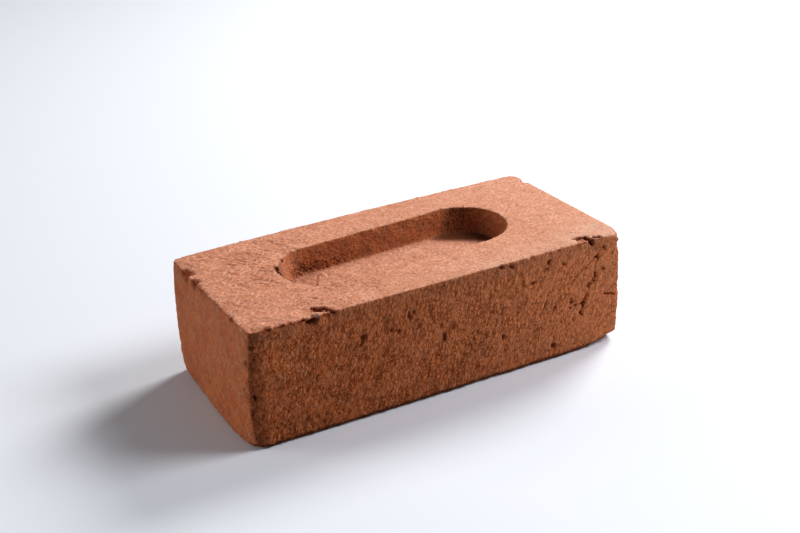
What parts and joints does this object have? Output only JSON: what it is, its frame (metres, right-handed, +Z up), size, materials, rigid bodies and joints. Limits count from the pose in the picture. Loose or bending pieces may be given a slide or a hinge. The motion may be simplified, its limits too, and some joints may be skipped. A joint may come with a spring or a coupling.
{
  "type": "clay brick",
  "caption": "Solid fired clay brick with bowed stretcher faces and a rounded frog in its upper bed, for mortared walls.",
  "frame": {"origin": "centre of the lower bed, on the ground", "axes": "+X along the stretcher faces (the length), +Y across the header faces (the width), +Z up, out of the frog"},
  "size_m": [0.233, 0.108, 0.07],
  "materials": {
    "fired_clay": "matt, sandy, unglazed"
  },
  "bodies": {
    "root": {"brick": "fired_clay"}
  },
  "joints": []
}
